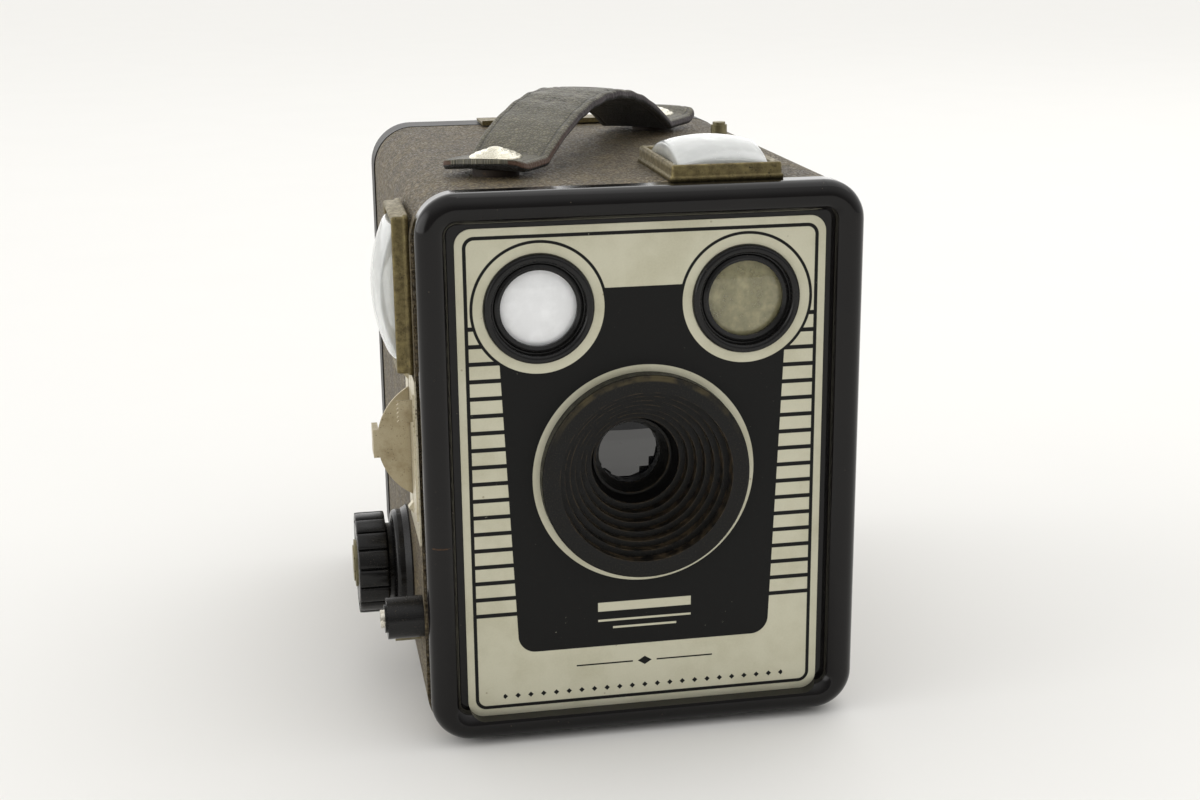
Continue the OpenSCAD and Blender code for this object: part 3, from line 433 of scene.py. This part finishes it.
pitDark = paint(38, 30, 20)
finishes = {
    "covering": makeCovering(),
    "gloss_black": makeGlossBlack(),
    "printed_plate": makePrintedPlate(),
    "hood_black": makeHoodBlack(),
    "ring_black": makeGlossPlastic("ringBlack", paint(11, 11, 13), 0.14, 0.35),
    "black_plastic": makeGlossPlastic("knobBlack", paint(13, 13, 14), 0.20, 0.5),
    "tarnished_nickel": makeAgedMetal("tarnishedNickel", paint(134, 122, 84), paint(80, 70, 44),
                                      paint(20, 16, 10), 0.6, 0.34, 0.85, 0.6, 1.6),
    "lever_metal": makeAgedMetal("leverMetal", paint(182, 171, 144), paint(154, 139, 108),
                                 paint(88, 74, 52), 0.35, 0.40, 0.75, 0.55, 4.5),
    "cream_metal": makeAgedMetal("creamMetal", paint(204, 197, 176), paint(168, 158, 130),
                                 paint(74, 62, 42), 0.35, 0.34, 0.75),
    "rivet_nickel": makeAgedMetal("rivetNickel", paint(232, 228, 212), paint(196, 188, 162),
                                  paint(104, 90, 62), 0.3, 0.22, 0.9),
    "contact_metal": makeAgedMetal("contactMetal", paint(232, 228, 216), paint(180, 170, 144),
                                   pitDark, 0.25, 0.2),
    "aged_brass": makeAgedMetal("agedBrass", paint(146, 139, 108), paint(112, 104, 76),
                                paint(60, 50, 32), 0.5, 0.34),
    "board_steel": makeAgedMetal("boardSteel", paint(170, 168, 160), paint(128, 120, 104),
                                 pitDark, 0.4, 0.32),
    "black_steel": makePainted("satinBlackSteel", paint(14, 14, 14), paint(46, 41, 35), 0.42),
    "inner_black": makePainted("mattBlack", paint(18, 18, 19), paint(44, 40, 36), 0.62),
    "spacer_steel": makePainted("darkSpacer", paint(30, 26, 24), paint(84, 66, 48), 0.5, 0.6),
    "spool_enamel": makePainted("spoolEnamel", paint(104, 34, 26), paint(150, 132, 112), 0.34, 0.5),
    "strap_leather": makeStrapLeather(),
    "mirror": makeMirror(),
    # painted reflection: half of each finder dome's surface is an even near-white film standing in for the
    # bright reflection on the glass
    "finder_glass": makeGlass("finderGlass", paint(246, 248, 246), 0.02, 0.08, paint(236, 238, 236), 0.4, 0.5),
    "lens_glass": makeLens(),
    "red_window": makeGlass("redWindow", paint(196, 24, 12), 0.06, 0.06, paint(140, 26, 16), 0.3, 0.45),
}
for part in frame["record"]["subparts"]:
    shown = nodes[part["node"]]
    if not shown.material_slots:
        shown.data.materials.append(None)
    for slot in shown.material_slots:
        slot.material = finishes[part["material_slot"]]
# the two front finder lenses differ: the left one is almost wholly covered by a near-white film, a painted
# reflection of the bright surroundings; the right one has a yellow-grey dust film
frontLenses = {
    "finder_lens_left": makeGlass("glareWhiteFinderLens", paint(250, 252, 255), 0.12, 0.1,
                                  paint(253, 254, 255), 0.1, 0.92),
    "finder_lens_right": makeGlass("dustyFinderLens", paint(226, 222, 190), 0.06, 0.40,
                                   paint(178, 172, 134), 0.6, 0.42),
}
for node, glass in frontLenses.items():
    for slot in nodes[node].material_slots:
        slot.material = glass
print("stage: finishes made,", len(finishes))


def newObject(name, data):
    made = bpy.data.objects.new(name, data)
    bpy.context.scene.collection.objects.link(made)
    return made


def newPiece(name, mesh, slotName, body, stands):
    # a finished piece that rides a body and stands for one CAD node
    piece = newObject(name, mesh)
    mesh.materials.clear()
    mesh.materials.append(finishes[slotName])
    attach(piece, body)
    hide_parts(stands)


def meshOf(name, bm, near=0.002):
    # points nearer than this, in millimetres, become one
    bmesh.ops.remove_doubles(bm, verts=bm.verts, dist=near * mm)
    bmesh.ops.recalc_face_normals(bm, faces=bm.faces)
    mesh = bpy.data.meshes.new(name)
    bm.to_mesh(mesh)
    bm.free()
    mesh.polygons.foreach_set("use_smooth", [True] * len(mesh.polygons))
    return mesh


def skin(bm, rings):
    # faces between rings of points, all of one length, and over both ends
    made = [[bm.verts.new(p) for p in ring] for ring in rings]
    count = len(made[0])
    for a, b in zip(made, made[1:]):
        for k in range(count):
            n = (k + 1) % count
            bm.faces.new((a[k], a[n], b[n], b[k]))
    bm.faces.new(made[0][::-1])
    bm.faces.new(made[-1])
    return made


def lathe(bm, outline, middle, axis, turns=72):
    # outline is (radius, distance along axis) in millimetres, from pole to pole
    along = Vector(axis).normalized()
    across = Vector((0, 0, 1)) if abs(along.z) < 0.9 else Vector((1, 0, 0))
    other = along.cross(across)
    poleSize = 0.004
    rings = []
    for radius, out in outline:
        ring = []
        for k in range(turns):
            a = 2 * math.pi * k / turns
            spoke = (across * math.cos(a) + other * math.sin(a)) * max(radius, poleSize)
            ring.append((Vector(middle) + along * out + spoke) * mm)
        rings.append(ring)
    skin(bm, rings)


def rounded(points, radius, cuts=4):
    # an open outline with its inner corners rounded
    out = [points[0]]
    for before, here, after in zip(points, points[1:], points[2:]):
        p, c, q = Vector(before), Vector(here), Vector(after)
        r = min(radius, (p - c).length * 0.45, (q - c).length * 0.45)
        a, b = c + (p - c).normalized() * r, c + (q - c).normalized() * r
        for k in range(cuts + 1):
            t = k / cuts
            out.append(tuple(a.lerp(c, t).lerp(c.lerp(b, t), t)))
    return out + [points[-1]]


strapShape = {"frontRivet": (-25.0, -35.0), "angle": math.atan2(77, 53), "pitch": 81.0, "tail": 7.0,
              "width": 18.0, "thick": 2.0, "low": 114.4, "rise": 9.8, "bowFrom": 5.5, "bowTo": 71.5,
              "corner": 2.6, "slices": 150}


def makeStrap():
    s = strapShape
    run = Vector((math.cos(s["angle"]), math.sin(s["angle"]), 0))
    cross = Vector((-run.y, run.x, 0))
    start = Vector((*s["frontRivet"], 0))
    first, last = -s["tail"], s["pitch"] + s["tail"]

    def smooth(t):
        t = max(0.0, min(1.0, t))
        return t * t * (3 - 2 * t)

    def height(a, b):
        # b is -1 on the left edge, 1 on the right edge
        bow = max(0.0, 1 - ((2 * a - s["bowFrom"] - s["bowTo"]) / (s["bowTo"] - s["bowFrom"])) ** 2)
        z = s["low"] + s["rise"] * bow
        z -= 0.55 * math.exp(-((a - 6.0) / 3.6) ** 2) * (0.45 - 0.55 * b)
        z += 0.9 * smooth((-3.0 - a) / 4.5) * (0.6 + 0.4 * b)
        z += 1.5 * smooth((a - 83.0) / 5.5)
        z += 0.12 * math.sin(a * 0.9 + b * 2.0) * bow
        return z

    half, thick = s["width"] / 2, s["thick"]
    acrossTop = [math.sin(math.pi / 2 * (k / 14 - 1)) for k in range(29)]
    bm = bmesh.new()
    uvLayer = bm.loops.layers.uv.new("strapMap")
    rings, flat = [], {}
    for i in range(s["slices"] + 1):
        a = first + (last - first) * i / s["slices"]
        inset = min(a - first, last - a)
        wide = half
        if inset < s["corner"]:
            wide = half - s["corner"] + math.sqrt(max(0.0, s["corner"] ** 2 - (s["corner"] - inset) ** 2))
        thin = thick * (0.55 + 0.45 * smooth(inset / 1.2))
        ring, marks = [], []
        for sign in (1, -1):
            for b in (acrossTop if sign > 0 else acrossTop[::-1]):
                fall = 1 - math.sqrt(max(0.0, 1 - max(0.0, (abs(b) * half - (half - 0.8)) / 0.8) ** 2))
                groove = 0.16 * math.exp(-((abs(b) * half - 7.3) / 0.35) ** 2) if sign > 0 else 0.0
                z = height(a, b) - 0.25 * b * b - groove
                z = z - thin / 2 + sign * (thin / 2) * (1 - fall)
                ring.append((start + run * a + cross * (-b * wide)) * mm + Vector((0, 0, z * mm)))
                marks.append((a * mm, b * half * mm))
        rings.append(ring)
        flat[i] = marks
    made = skin(bm, rings)
    where = {}
    for i, ring in enumerate(made):
        for k, vert in enumerate(ring):
            where[vert] = flat[i][k]
    for face in bm.faces:
        for loop in face.loops:
            loop[uvLayer].uv = where[loop.vert]
    mesh = meshOf("leatherStrap", bm, 0.0)
    newPiece("leatherStrap", mesh, "strap_leather", "camera_body", "strap")


makeStrap()
print("stage: strap made")


def growTree(name, inputs):
    tree = bpy.data.node_groups.new(name, "GeometryNodeTree")
    tree.interface.new_socket("Geometry", in_out="INPUT", socket_type="NodeSocketGeometry")
    keys = {}
    for label, kind in inputs:
        socket = tree.interface.new_socket(label, in_out="INPUT", socket_type="NodeSocket" + kind)
        keys[label] = socket.identifier
    tree.interface.new_socket("Geometry", in_out="OUTPUT", socket_type="NodeSocketGeometry")

    def add(kind, settings=None, **links):
        made = tree.nodes.new(kind)
        for key, value in (settings or {}).items():
            setattr(made, key, value)
        for key, value in links.items():
            # at0, at1 and so on go by number, the rest by name
            socket = made.inputs[int(key[2:]) if key.startswith("at") else key]
            if isinstance(value, bpy.types.NodeSocket):
                tree.links.new(value, socket)
            else:
                socket.default_value = value
        return made
    return tree, keys, add, add("NodeGroupInput"), add("NodeGroupOutput")


def endTree(tree, add, entry, leave, grown):
    real = add("GeometryNodeRealizeInstances", None, Geometry=grown.outputs[0])
    done = add("GeometryNodeSetMaterial", None, Geometry=real.outputs[0], Material=entry.outputs["Finish"])
    tree.links.new(done.outputs[0], leave.inputs[0])


def growPiece(name, tree, keys, values):
    # runs the tree once and keeps its result as a plain mesh
    holder = newObject(name + "Seed", bpy.data.meshes.new(name + "Seed"))
    grow = holder.modifiers.new("grow", "NODES")
    grow.node_group = tree
    for label, value in values.items():
        grow[keys[label]] = value
    holder.update_tag()
    bpy.context.view_layer.update()
    result = bpy.data.meshes.new_from_object(holder.evaluated_get(bpy.context.evaluated_depsgraph_get()))
    holder.modifiers.clear()
    bpy.data.objects.remove(holder)
    result.name = name
    return result


rivetShape = {"radius": 5.2, "rise": 2.2, "rings": 3}


def makeRivets():
    # one stepped, domed head, set on both of the strap's rivet places
    r, rise = rivetShape["radius"], rivetShape["rise"]
    outline = [(0.0, -0.6), (r - 0.25, -0.6), (r, -0.35), (r, 0.05), (r - 0.3, 0.32)]
    for k in range(rivetShape["rings"]):
        a = r - 1.0 - k * 1.25
        z = 0.42 + k * (rise - 0.9) / rivetShape["rings"]
        outline += [(a + 0.50, z - 0.12), (a + 0.12, z - 0.14), (a - 0.02, z + 0.26), (a - 0.28, z + 0.42)]
    outline += [(0.8, rise - 0.30), (0.4, rise - 0.24), (0.0, rise - 0.22)]
    bm = bmesh.new()
    lathe(bm, outline, (0, 0, 0), (0, 0, 1), 56)
    head = newObject("rivetHead", meshOf("rivetHead", bm))
    tree, keys, add, entry, leave = growTree(
        "rivetPlaces", [("Head", "Object"), ("Pitch", "Float"), ("Finish", "Material")])
    line = add("GeometryNodeMeshLine", {"mode": "OFFSET"}, Count=2)
    offset = add("ShaderNodeCombineXYZ", None, X=entry.outputs["Pitch"])
    tree.links.new(offset.outputs[0], line.inputs["Offset"])
    info = add("GeometryNodeObjectInfo", None, Object=entry.outputs["Head"])
    put = add("GeometryNodeInstanceOnPoints", None, Points=line.outputs[0], Instance=info.outputs["Geometry"])
    endTree(tree, add, entry, leave, put)
    mesh = growPiece("strapRivetHeads", tree, keys,
                     {"Head": head, "Pitch": strapShape["pitch"] * mm, "Finish": finishes["rivet_nickel"]})
    bpy.data.objects.remove(head)
    mesh.transform(Matrix.Translation(Vector((*strapShape["frontRivet"], strapShape["low"] + 0.1)) * mm)
                   @ Matrix.Rotation(strapShape["angle"], 4, "Z"))
    newPiece("strapRivetHeads", mesh, "rivet_nickel", "camera_body", "strap_rivets")


makeRivets()

knobShape = {"radius": 10.9, "ribs": 16, "ribHeight": 0.62, "ribDepth": 1.6, "face": -55.2, "back": -49.0,
             "y": -17.0, "z": 25.1}


def makeKnob():
    # a moulded knob: a turned core with broad rounded ribs round it
    k = knobShape
    length = k["back"] - k["face"]
    width = 2 * math.pi * (k["radius"] - 0.5) / k["ribs"] * 0.93
    bm = bmesh.new()
    rings = []
    steps = [(0.0, 0.80), (0.35, 0.93), (0.9, 1.0), (length - 0.8, 1.0), (length - 0.25, 0.93), (length, 0.84)]
    for out, size in steps:
        ring = []
        for j in range(9):
            a = math.pi * j / 8
            wide = math.cos(a) * width / 2 * (0.9 + 0.1 * size)
            ring.append(Vector((out, wide, k["ribHeight"] * math.sin(a) ** 0.6 * size - 0.02)) * mm)
        for side in (-1, 1):
            ring.append(Vector((out, side * width / 2 * 0.94, -k["ribDepth"])) * mm)
        rings.append(ring)
    skin(bm, rings)
    rib = newObject("knobRib", meshOf("knobRib", bm))
    tree, keys, add, entry, leave = growTree(
        "knobRibs", [("Rib", "Object"), ("Ribs", "Int"), ("Radius", "Float"), ("Finish", "Material")])
    line = add("GeometryNodeMeshLine", {"mode": "OFFSET"}, Count=entry.outputs["Ribs"])
    place = add("GeometryNodeInputIndex")
    part = add("ShaderNodeMath", {"operation": "DIVIDE"}, at0=place.outputs[0], at1=entry.outputs["Ribs"])
    angle = add("ShaderNodeMath", {"operation": "MULTIPLY"}, at0=part.outputs[0], at1=2 * math.pi)
    sine = add("ShaderNodeMath", {"operation": "SINE"}, at0=angle.outputs[0])
    cosine = add("ShaderNodeMath", {"operation": "COSINE"}, at0=angle.outputs[0])
    left = add("ShaderNodeMath", {"operation": "MULTIPLY"}, at0=sine.outputs[0], at1=entry.outputs["Radius"])
    leftMinus = add("ShaderNodeMath", {"operation": "MULTIPLY"}, at0=left.outputs[0], at1=-1.0)
    up = add("ShaderNodeMath", {"operation": "MULTIPLY"}, at0=cosine.outputs[0], at1=entry.outputs["Radius"])
    spot = add("ShaderNodeCombineXYZ", None, Y=leftMinus.outputs[0], Z=up.outputs[0])
    moved = add("GeometryNodeSetPosition", None, Geometry=line.outputs[0], Position=spot.outputs[0])
    spin = add("ShaderNodeCombineXYZ", None, X=angle.outputs[0])
    info = add("GeometryNodeObjectInfo", None, Object=entry.outputs["Rib"])
    put = add("GeometryNodeInstanceOnPoints", None, Points=moved.outputs[0],
              Instance=info.outputs["Geometry"], Rotation=spin.outputs[0])
    endTree(tree, add, entry, leave, put)
    ribs = growPiece("knobRibs", tree, keys,
                     {"Rib": rib, "Ribs": k["ribs"], "Radius": (k["radius"] - k["ribHeight"]) * mm,
                      "Finish": finishes["black_plastic"]})
    bpy.data.objects.remove(rib)
    ribs.transform(Matrix.Translation(Vector((k["face"], k["y"], k["z"])) * mm))
    bm = bmesh.new()
    bm.from_mesh(ribs)
    # the core's outline from the middle of its face, round the rim, to the bore in its neck
    core = [(0.0, 0.55), (5.6, 0.55), (6.2, 0.0), (9.5, 0.0), (9.95, 0.5), (9.95, length - 0.4),
            (8.9, length), (8.2, length + 0.2), (8.2, length + 2.3), (3.9, length + 2.3),
            (3.9, length - 0.4), (0.0, length - 0.4)]
    lathe(bm, rounded(core, 0.35), (k["face"], k["y"], k["z"]), (1, 0, 0), 90)
    mesh = meshOf("fluteKnob", bm, 0.001)
    newPiece("fluteKnob", mesh, "black_plastic", "knob", "winding_knob")


makeKnob()
print("stage: rivets and knob made")

viewFrame = {"short": 22.5, "long": 31.3, "tall": 3.2, "rim": 2.4, "corner": 1.1}


def makeViewFrame(name, place, stands):
    # a pressed frame swept round a rectangle: base strip, step, rounded top, inner lip
    v = viewFrame
    # outwards offset and height of the section's points, from inner foot to outer foot
    rim, tall = v["rim"], v["tall"]
    section = [(-rim, 0.02), (-rim, 2.1), (-rim + 0.5, 2.55), (-rim + 0.6, tall - 0.25), (-1.0, tall),
               (-0.5, tall - 0.12), (-0.35, tall - 0.7), (-0.35, 1.0), (0.0, 0.82), (0.0, 0.02)]
    section = rounded(section, 0.3, 3)
    rings = []
    corners = [(1, 1, 0), (-1, 1, 90), (-1, -1, 180), (1, -1, 270)]
    for sx, sy, base in corners:
        cx, cy = sx * (v["short"] / 2 - v["corner"]), sy * (v["long"] / 2 - v["corner"])
        for j in range(7):
            a = math.radians(base + 15 * j)
            ring = []
            for out, up in section:
                reach = v["corner"] + out
                if reach < 0.05:   # inside the corner's centre the section keeps square corners
                    px, py = cx + sx * reach, cy + sy * reach
                else:
                    px, py = cx + math.cos(a) * reach, cy + math.sin(a) * reach
                ring.append(Vector((px, py, up)) * mm)
            rings.append(ring)
    bm = bmesh.new()
    made = [[bm.verts.new(p) for p in ring] for ring in rings]
    count = len(section)
    for a, b in zip(made, made[1:] + made[:1]):
        for k in range(count):
            n = (k + 1) % count
            if len({vert.co.to_tuple(7) for vert in (a[k], a[n], b[n], b[k])}) > 2:
                bm.faces.new((a[k], a[n], b[n], b[k]))
    mesh = meshOf(name, bm)
    mesh.transform(place)
    newPiece(name, mesh, "tarnished_nickel", "camera_body", stands)


viewGlass = {"long": 26.4, "short": 17.6, "foot": 0.4, "edge": 4.0, "rise": 2.9, "round": 0.5}


def makeViewGlass(name, place, stands):
    # one domed block of glass, with its rim eased
    g = viewGlass
    halfX, halfY = g["short"] / 2, g["long"] / 2
    curve = (halfY ** 2 + g["rise"] ** 2) / (2 * g["rise"])
    top = g["edge"] + g["rise"]

    def dome(x, y):
        return top - curve + math.sqrt(curve ** 2 - x * x - y * y)

    def sag(radius, gap):
        # how far a rounded rim of this radius has turned down, this far in from its edge
        return radius - math.sqrt(max(0.0, radius ** 2 - (radius - gap) ** 2))
    bm = bmesh.new()
    cutsX, cutsY = 24, 34
    grid = []
    for i in range(cutsX + 1):
        line = []
        for j in range(cutsY + 1):
            # points are closer together near the rim, where the glass turns down
            x = halfX * math.sin(math.pi / 2 * (2 * i / cutsX - 1))
            y = halfY * math.sin(math.pi / 2 * (2 * j / cutsY - 1))
            drop = 0.0
            for gap in (halfX - abs(x), halfY - abs(y)):
                if gap < g["round"]:
                    drop = max(drop, sag(g["round"], gap))
            line.append(bm.verts.new(Vector((x, y, dome(x, y) - drop)) * mm))
        grid.append(line)
    for i in range(cutsX):
        for j in range(cutsY):
            bm.faces.new((grid[i][j], grid[i + 1][j], grid[i + 1][j + 1], grid[i][j + 1]))
    rim = [grid[i][0] for i in range(cutsX)] + [grid[cutsX][j] for j in range(cutsY)] \
        + [grid[i][cutsY] for i in range(cutsX, 0, -1)] + [grid[0][j] for j in range(cutsY, 0, -1)]
    foot = [bm.verts.new((v.co.x, v.co.y, g["foot"] * mm)) for v in rim]
    for k in range(len(rim)):
        n = (k + 1) % len(rim)
        bm.faces.new((rim[k], foot[k], foot[n], rim[n]))
    bm.faces.new(foot)
    mesh = meshOf(name, bm)
    mesh.transform(place)
    newPiece(name, mesh, "finder_glass", "camera_body", stands)


viewPlaces = {"top": (17.05, -38.75, 111.0), "side": (-43.8, -38.75, 90.4)}
onTop = Matrix.Translation(Vector(viewPlaces["top"]) * mm)
onSide = Matrix.Translation(Vector(viewPlaces["side"]) * mm) \
    @ Matrix.Rotation(-math.pi / 2, 4, "Y") @ Matrix.Rotation(math.pi / 2, 4, "Z")
makeViewFrame("topViewFrame", onTop, "top_finder_frame")
makeViewFrame("sideViewFrame", onSide, "side_finder_frame")
makeViewGlass("topViewGlass", onTop, "top_finder_glass")
makeViewGlass("sideViewGlass", onSide, "side_finder_glass")
print("stage: finder frames made")


def makeFloor():
    bm = bmesh.new()
    half = 7.0   # metres
    bm.faces.new([bm.verts.new((x * half, y * half, 0)) for x, y in ((-1, -1), (1, -1), (1, 1), (-1, 1))])
    mesh = bpy.data.meshes.new("paleFloor")
    bm.to_mesh(mesh)
    bm.free()
    floor = newObject("paleFloor", mesh)
    f = Finish("paleFloor", {"Specular IOR Level": 0.0})
    mottle = f.noise(60, 2.0)
    f.feed(Base_Color=f.mix(mottle, paint(236, 235, 232), paint(238, 237, 234)), Roughness=0.8 + mottle * 0.05)
    mesh.materials.append(f.material)


skyLook = {"front": 0.28, "top": 1.05, "rear": 0.6, "left": 2.1}


def makeSky():
    # bright behind and overhead, dim in front; the backdrop itself is plain
    world = bpy.data.worlds.new("studio")
    bpy.context.scene.world = world
    world.use_nodes = True
    tree = world.node_tree
    tree.nodes.clear()
    aim = tree.nodes.new("ShaderNodeTexCoord")
    split = tree.nodes.new("ShaderNodeSeparateXYZ")
    tree.links.new(aim.outputs["Generated"], split.inputs[0])

    def maths(operation, a, b):
        made = tree.nodes.new("ShaderNodeMath")
        made.operation = operation
        for socket, value in zip(made.inputs, (a, b)):
            if isinstance(value, bpy.types.NodeSocket):
                tree.links.new(value, socket)
            else:
                socket.default_value = value
        return made.outputs[0]
    upwards = maths("ADD", maths("MULTIPLY", split.outputs["Z"], 0.75),
                    maths("MULTIPLY", split.outputs["X"], 0.22))
    slope = maths("ADD", maths("MULTIPLY", split.outputs["Y"], 0.55), upwards)
    level = tree.nodes.new("ShaderNodeMapRange")
    level.interpolation_type = "SMOOTHSTEP"
    tree.links.new(slope, level.inputs["Value"])
    level.inputs["From Min"].default_value = -0.45
    level.inputs["From Max"].default_value = 0.55
    level.inputs["To Min"].default_value = skyLook["front"]
    level.inputs["To Max"].default_value = skyLook["top"]

    def patch(value, start, end, strength):
        made = tree.nodes.new("ShaderNodeMapRange")
        made.interpolation_type = "SMOOTHSTEP"
        tree.links.new(value, made.inputs["Value"])
        for key, number in (("From Min", start), ("From Max", end), ("To Min", 0.0), ("To Max", strength)):
            made.inputs[key].default_value = number
        return made.outputs[0]
    rear = patch(split.outputs["Y"], 0.62, 0.95, skyLook["rear"])
    left = patch(maths("MULTIPLY", split.outputs["X"], -1.0), 0.70, 0.93, skyLook["left"])
    total = maths("ADD", level.outputs[0], maths("ADD", rear, left))
    lit = tree.nodes.new("ShaderNodeBackground")
    lit.inputs["Color"].default_value = (1.0, 0.995, 0.985, 1.0)
    tree.links.new(total, lit.inputs["Strength"])
    plain = tree.nodes.new("ShaderNodeBackground")
    plain.inputs["Color"].default_value = paint(243, 242, 238)
    rays = tree.nodes.new("ShaderNodeLightPath")
    mixed = tree.nodes.new("ShaderNodeMixShader")
    out = tree.nodes.new("ShaderNodeOutputWorld")
    tree.links.new(rays.outputs["Is Camera Ray"], mixed.inputs[0])
    tree.links.new(lit.outputs[0], mixed.inputs[1])
    tree.links.new(plain.outputs[0], mixed.inputs[2])
    tree.links.new(mixed.outputs[0], out.inputs[0])


lamps = {"key": {"at": (0.6, 0.3, 1.25), "aim": (0, -0.02, 0.04), "size": 1.3, "power": 3.6}}


def makeLamps():
    for name, lamp in lamps.items():
        data = bpy.data.lights.new(name, "AREA")
        data.shape = "SQUARE"
        data.size = lamp["size"]
        data.energy = lamp["power"]
        light = newObject(name, data)
        light.visible_camera = False
        light.location = lamp["at"]
        aim = Vector(lamp["aim"]) - Vector(lamp["at"])
        light.rotation_euler = aim.to_track_quat("-Z", "Y").to_euler()


viewPoint = {"at": (-0.06826, -0.37726, 0.16038), "azimuth": -10.536, "elevation": 15.547, "roll": -0.568,
             "lens": 52.51}


def makeCamera():
    a, e, r = (math.radians(viewPoint[key]) for key in ("azimuth", "elevation", "roll"))
    back = Vector((math.sin(a) * math.cos(e), -math.cos(a) * math.cos(e), math.sin(e)))
    right = (-back).cross(Vector((0, 0, 1))).normalized()
    up = right.cross(-back)
    rolledRight = right * math.cos(r) + up * math.sin(r)
    rolledUp = up * math.cos(r) - right * math.sin(r)
    turned = Matrix((rolledRight, rolledUp, back)).transposed()
    data = bpy.data.cameras.new("frontCamera")
    data.lens = viewPoint["lens"]
    data.sensor_width = 36.0
    data.clip_start, data.clip_end = 0.01, 30.0
    camera = newObject("frontCamera", data)
    camera.matrix_world = Matrix.Translation(viewPoint["at"]) @ turned.to_4x4()
    bpy.context.scene.camera = camera


makeFloor()
makeSky()
makeLamps()
makeCamera()
bpy.context.scene.view_settings.view_transform = "Standard"
print("stage: floor, light and camera made")
